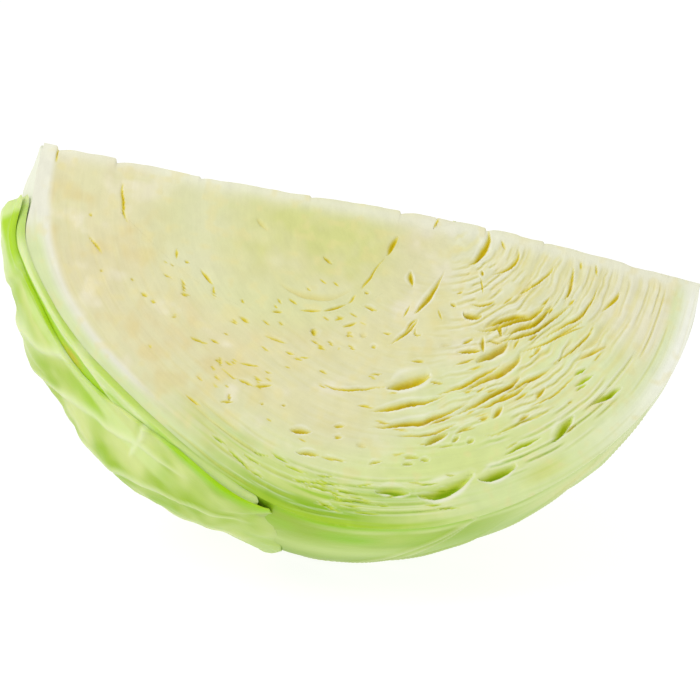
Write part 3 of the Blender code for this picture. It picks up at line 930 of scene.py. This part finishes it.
outer_face = (skin_outer, skin_green, skin_grain)
inner_face = (skin_inner, display(200, 216, 130) + 0 * skin_inner, 0 * skin_inner)
skin_faces = (skin_front, outer_face, skin_back, inner_face)
add_piece("skin_leaf_surface", skin_faces, waxy, "skin_leaf")

# Torn leaf, which clasps the stem end over the skin leaf and ends in a torn edge: its rounded tongue
# shows at the front cut above the loose leaf.
TORN_LEAF_START = math.radians(10.5)
TORN_LEAF_END = math.radians(83)
LEAF_START_RISE = math.radians(9)
LOOSE_LEAF_THICKNESS = 0.0019
OUTER_VEIN_HEIGHT = 0.0007
RIM_POINTS = 7


def rim_radius(angle):
    """The head's radius out from the ridge, kept off zero near the stem."""
    return HEAD_RADIUS * np.maximum(np.sin(angle), 0.25)


def leaf_start(first, turn):
    """The angle at which an outer leaf leaves the stem: further on at the back."""
    return first + LEAF_START_RISE * smooth(turn / HALF_WEDGE)


def torn_end(turn):
    """The torn edge: furthest along at the front cut, where the tongue is."""
    across = turn / (2 * HALF_WEDGE) + 0.5
    return TORN_LEAF_END - np.radians(2 + 8 * smooth(across * 9) + 2 * smooth(across * 1.6))


def torn_height(angle, turn):
    """Inner side of the torn leaf, a little off the head's shoulder except near the front cut."""
    off_the_head = grows(from_front(turn), 2, 20)
    return skin_thickness(angle, turn) + 0.0015 * bump(np.degrees(angle), 46, 30) * off_the_head


def torn_thickness(angle, turn):
    """Rolled thick where the leaf begins and in its tongue, and an even blade between."""
    degrees = np.degrees(angle)
    tongue = bump(degrees, 76, 14) * (1 - smooth(from_front(turn) / 9))
    return LOOSE_LEAF_THICKNESS + 0.0004 * bump(degrees, 15, 14) + 0.0012 * tongue


def outer_leaf(name, steps, rule, tint_rule, veins, material):
    """A leaf over the head: rule(along, across) gives its angle, turn, inner height and thickness.
    Its rims are rounded, at the front only on the outer side; its veins stand out there too."""
    along = np.linspace(0, 1, steps[0] + 1)[:, None]
    rim = np.linspace(0, math.pi, RIM_POINTS)
    rising = (1 - np.cos(rim)) / 2
    across = np.linspace(0, 1, steps[1] + 1)[1:-1]
    under = np.linspace(1, 0, steps[1] // 6 + 1)[1:-1]
    sides = (
        (0 * rim, rising, -np.sqrt(1 - rising**2) / 2),
        (across, 1 + 0 * across, 0 * across),
        (1 + 0 * rim, (1 + np.cos(rim)) / 2, np.sin(rim) / 2),
        (under, 0 * under, 0 * under),
    )
    across, through, rounding = (np.concatenate(parts) for parts in zip(*sides))
    angle, turn, height, thickness = rule(along, across)
    turn = turn + rounding * thickness / rim_radius(angle)
    vein = leaf_veins(angle, turn, veins)
    blunt = np.sqrt(np.clip(1 - ((along - 0.985) / 0.015).clip(0, 1) ** 2, 0.04, 1))
    blunt = blunt * np.sqrt(np.clip(1 - ((0.035 - along) / 0.035).clip(0, 1) ** 2, 0.04, 1))
    middle = height + thickness / 2
    height = middle + (through - 0.5) * thickness * blunt + OUTER_VEIN_HEIGHT * vein * through
    place_along, out = over_head(angle, height, turn)
    points = rest_on_table(place(place_along, out, turn), 0.0)
    grain = np.stack([angle * 0.09, turn * 0.02, 0 * turn + through * 0.01], axis=-1)
    tint = tint_rule(angle, turn, through, vein)
    add_piece(name + "_surface", [(points, tint, grain)], material, name)


def torn_rule(along, across):
    """The torn leaf follows the head, from the stem to its torn edge."""
    turn = (across - 0.5) * 2 * HALF_WEDGE + 0 * along
    start = leaf_start(TORN_LEAF_START, turn)
    angle = start + along * (torn_end(turn) - start)
    thickness = torn_thickness(angle, turn)
    uneven = 0.0003 * (1 + noise(angle * 11, 0 * angle, 168, 2))
    turn = turn + (1 - across) ** 4 * (thickness / 2 + uneven) / rim_radius(angle)
    return angle, turn, torn_height(angle, turn), thickness


def torn_tint(angle, turn, through, vein):
    """Pale where it starts, bright green in the groove beside the loose leaf, partly its own green and partly
    painted light, yellowish in one spot.
    """
    degrees = np.degrees(angle)
    aside = from_front(turn)
    fibres = noise(angle * 3, turn * 70, 160, 2)
    groove_line = 2.4 + 1.8 * noise(angle * 9, 0 * angle, 164)
    blotch = smooth(1.6 * noise(angle * 12, turn * 30, 166, 2)) * fades(degrees, 46, 9)
    layers = (
        ((214, 228, 166), smooth(0.5 + 1.4 * fibres)),
        # Partly the leaf's own green, partly painted light: the groove glows as if lit through the leaves.
        ((158, 204, 0), grows(aside, groove_line, 1.8) * fades(aside, 11, 4)),
        ((170, 208, 40), 0.5 * blotch * grows(aside, 1.5, 2)),
        ((168, 208, 50), 0.6 * fades(degrees, 17, 4)),
        ((222, 232, 176), 0.7 * fades(degrees, 11.5, 1.5)),
        ((150, 200, 0), 0.9 * grows(through, 0.75, 0.2) * grows(degrees, 56, 6)),
        ((150, 196, 10), 0.8 * fades(through, 0.05, 0.2) * grows(degrees, 60, 6)),
        ((196, 178, 40), 0.8 * bump(degrees, 40, 4) * bump(aside, 7, 4)),
        ((200, 220, 130), 0.7 * grows(degrees, 52, 20)),
        ((224, 230, 180), 0.5 * vein),
    )
    return coats((184, 211, 98), layers, angle.shape)


TORN_VEINS = (((14, -30), (45, -30), (80, -40), 2.5), ((20, 0), (50, -4), (70, -2), 3.0))
torn_green = leaf_material("torn_leaf", 0.40, 0.35, 0.04)
outer_leaf("torn_leaf", (170, 100), torn_rule, torn_tint, TORN_VEINS, torn_green)

# Loose leaf, the outermost one: it stands off the shoulder in waves and folds, starts in a rolled
# ear at the stem and ends in a rolled rim.
LOOSE_LEAF_START = math.radians(11)
LOOSE_LEAF_END = math.radians(86.5)
BULGES = ((0.0045, 45, 38), (0.0035, 58, 24), (0.0022, 35, 9))
WAVE_HEIGHT = 0.0004
FOLD_HEIGHT = 0.0018
WRINKLE_HEIGHT = 0.0006
EAR_THICKNESS = 0.0008
LOBE_THICKNESS = 0.0014
LOOSE_VEINS = (
    ((14, 8), (40, -6), (78, -12), 3.2),
    ((24, 2), (38, -22), (58, -40), 2.0),
    ((34, -4), (50, -24), (70, -38), 1.8),
    ((46, -8), (62, -24), (82, -36), 1.8),
    ((30, 2), (48, 18), (70, 28), 2.2),
    ((44, -6), (62, 8), (80, 18), 2.0),
    ((57, -45), (58.5, -36), (58, -26), 2.2),
)


def loose_height(angle, turn, lifted):
    """Inner side of the loose leaf: off the shoulder in waves and folds, close where the leaf ends."""
    degrees = np.degrees(angle)
    resting = skin_thickness(angle, turn)
    over_torn = torn_height(angle, turn) + torn_thickness(angle, turn)
    bulge = sum(height * bump(degrees, middle, half_width) for height, middle, half_width in BULGES)
    waves = WAVE_HEIGHT * (1 + np.sin(9 * angle + 4 * turn)) * bump(degrees, 45, 45)
    folds = FOLD_HEIGHT * noise(angle * 5.5 + 0.8 * turn, turn * 4.5, 170, 3) * grows(degrees, 20, 12)
    folds = folds + WRINKLE_HEIGHT * noise(angle * 15, turn * 8, 176, 2)
    past_torn = grows(np.degrees(angle - torn_end(turn)), 1, 5)
    return over_torn + (resting - over_torn) * past_torn + (bulge + waves + folds) * lifted


def ear(angle, turn):
    """Where the leaf's first stretch is rolled over into a thick ear: 1 there, ending in a step."""
    return fades(np.degrees(angle), 22.5, 1.4) * fades(from_front(turn), 31, 14)


def loose_rule(along, across):
    """The loose leaf is drawn back from the front cut at the stem, and its end is wavy."""
    past_start = smooth(along / 0.1)
    drawn_back = 5.5 * fades(along, 0.5, 0.35) * past_start + 4 * bump(along, 0.42, 0.2)
    drawn_back = drawn_back + 1.3 * noise(along * 14, 0 * along, 190, 3) * (1 - along) * past_start
    first_turn = np.radians(drawn_back) - HALF_WEDGE
    turn = first_turn + across * (HALF_WEDGE - first_turn)
    from_rim = np.degrees(turn - first_turn)
    start = leaf_start(LOOSE_LEAF_START, turn)
    wavy_end = 4.5 * smooth(across * 2.2) - 8 * smooth((across - 0.5) * 2) + 1.5 * np.sin(9 * across) - 3.5
    angle = start + along * (LOOSE_LEAF_END + np.radians(wavy_end) - start)
    at_lobe = bump(from_front(turn), 35, 16)
    thin_end = 1 - 0.8 * grows(along, 0.88, 0.12) * (1 - at_lobe)
    rolled = ear(angle, turn)
    thin_rim = 1 - 0.5 * (1 - smooth(across / 0.12)) * (1 - rolled)
    thickness = LOOSE_LEAF_THICKNESS * thin_end * thin_rim
    thickness = thickness + LOBE_THICKNESS * bump(along, 0.965, 0.06) * at_lobe
    thickness = thickness + EAR_THICKNESS * rolled * grows(from_rim, 2, 9)
    lifted = grows(from_rim, 1, 20)
    sunk = 0.0004 * grows(along, 0.93, 0.07) * (1 - at_lobe)
    return angle, turn, loose_height(angle, turn, lifted) - sunk, thickness


def loose_tint(angle, turn, through, vein):
    """Bright green at the ear, mottled pale green beyond, with pale veins and rim, and bright green beside
    the groove, partly painted light.
    """
    degrees = np.degrees(angle)
    aside = from_front(turn)
    cloud = noise(angle * 6, turn * 5, 180)
    patch = noise(angle * 16, turn * 9, 184, 2)
    light_beside_groove = (1 - smooth((aside - 9.5 - 4 * patch) / 3)) * grows(degrees, 22, 4)
    at_rim = fades(np.abs(aside - 10), 1.2, 1.5) * grows(degrees, 24, 6) * fades(degrees, 60, 10)
    layers = (
        ((206, 219, 136), smooth(0.5 + 1.0 * cloud + 0.3 * patch)),
        ((148, 192, 0), 0.8 * smooth(-0.15 - 1.1 * cloud - 0.4 * patch)),
        ((156, 200, 0), 0.85 * bump(degrees, 47, 8) * bump(aside, 13, 7)),
        ((216, 228, 170), 0.7 * bump(degrees, 31, 7) * grows(aside, 14, 6)),
        ((206, 224, 150), 0.9 * fades(degrees, 21, 6)),
        ((166, 208, 0), 0.9 * fades(degrees, 20, 5) * fades(aside, 10, 4)),
        ((216, 228, 164), 0.8 * fades(degrees, 21, 4) * grows(aside, 17, 6)),
        ((214, 230, 160), 0.8 * fades(degrees, 13, 1.5)),
        # Partly the leaf's own green, partly painted light: beside the groove it glows as if lit through the
        # leaves.
        ((162, 204, 0), 0.85 * light_beside_groove * fades(degrees, 46, 6)),
        ((190, 212, 112), 0.5 * grows(degrees, 76, 8)),
        ((150, 202, 0), 0.85 * fades(aside, 0.5, 2.5) * grows(degrees, 52, 8)),
        ((210, 228, 150), 0.7 * at_rim),
        ((222, 232, 180), 0.7 * vein),
    )
    return coats((156, 190, 34), layers, angle.shape)


loose_green = leaf_material("loose_leaf", 0.38, 0.35, 0.04)
outer_leaf("loose_leaf", (230, 150), loose_rule, loose_tint, LOOSE_VEINS, loose_green)

# Pale floor under the wedge, a matt sheet wide enough to fill the view. It shines faintly by itself, so
# that it stays white behind the soft shadow.
FLOOR_REACH = 6.0
FLOOR_DROP = 0.0002
floor_mesh = bpy.data.meshes.new("floor")
corners = ((-1, -1), (1, -1), (1, 1), (-1, 1))
corners = [(x * FLOOR_REACH, y * FLOOR_REACH, -FLOOR_DROP) for x, y in corners]
floor_mesh.from_pydata(corners, [], [(0, 1, 2, 3)])
floor = put("floor", floor_mesh)
pale = bpy.data.materials.new("pale_floor")
pale.use_nodes = True
feed(pale, pale.node_tree.nodes["Principled BSDF"], {
    "Base Color": (0.2, 0.2, 0.2, 1), "Roughness": 0.9, "Specular IOR Level": 0.0,
    "Emission Color": (1, 1, 1, 1), "Emission Strength": 0.9,
})
floor_mesh.materials.append(pale)

# Light: a white room that lights the wedge from all sides, and a broad soft light above the camera's
# left shoulder, which points at the middle of the wedge.
KEY_LIGHT_PLACE = Vector((-0.55, -0.45, 0.75))
WEDGE_MIDDLE = Vector((0, 0, 0.05))
world = bpy.data.worlds.new("white_room")
bpy.context.scene.world = world
world.use_nodes = True
feed(world, world.node_tree.nodes["Background"], {"Color": (1, 1, 1, 1), "Strength": 0.7})
light = bpy.data.lights.new("key_light", "AREA")
light.size = 0.40
light.energy = 3.2
lamp = put("key_light", light)
lamp.location = KEY_LIGHT_PLACE
lamp.rotation_euler = (WEDGE_MIDDLE - KEY_LIGHT_PLACE).to_track_quat("-Z", "Y").to_euler()

# Camera, a long lens a little above the wedge that looks down at the front cut, nearly square to it.
# Its place was fitted to the outline in the photo.
CAMERA_RISE = math.radians(14.63)
CAMERA_YAW = math.radians(1.14)
CAMERA_DISTANCE = 0.717
CAMERA_TARGET = Vector((-0.0061, 0, 0.0540))
LENS = 135
camera_data = bpy.data.cameras.new("camera")
camera_data.lens = LENS
camera = put("camera", camera_data)
backwards = Vector((
    math.sin(CAMERA_YAW) * math.cos(CAMERA_RISE),
    -math.cos(CAMERA_YAW) * math.cos(CAMERA_RISE),
    math.sin(CAMERA_RISE),
))
camera.location = CAMERA_TARGET + backwards * CAMERA_DISTANCE
camera.rotation_euler = (-backwards).to_track_quat("-Z", "Y").to_euler()
bpy.context.scene.camera = camera
bpy.context.scene.view_settings.view_transform = "Standard"
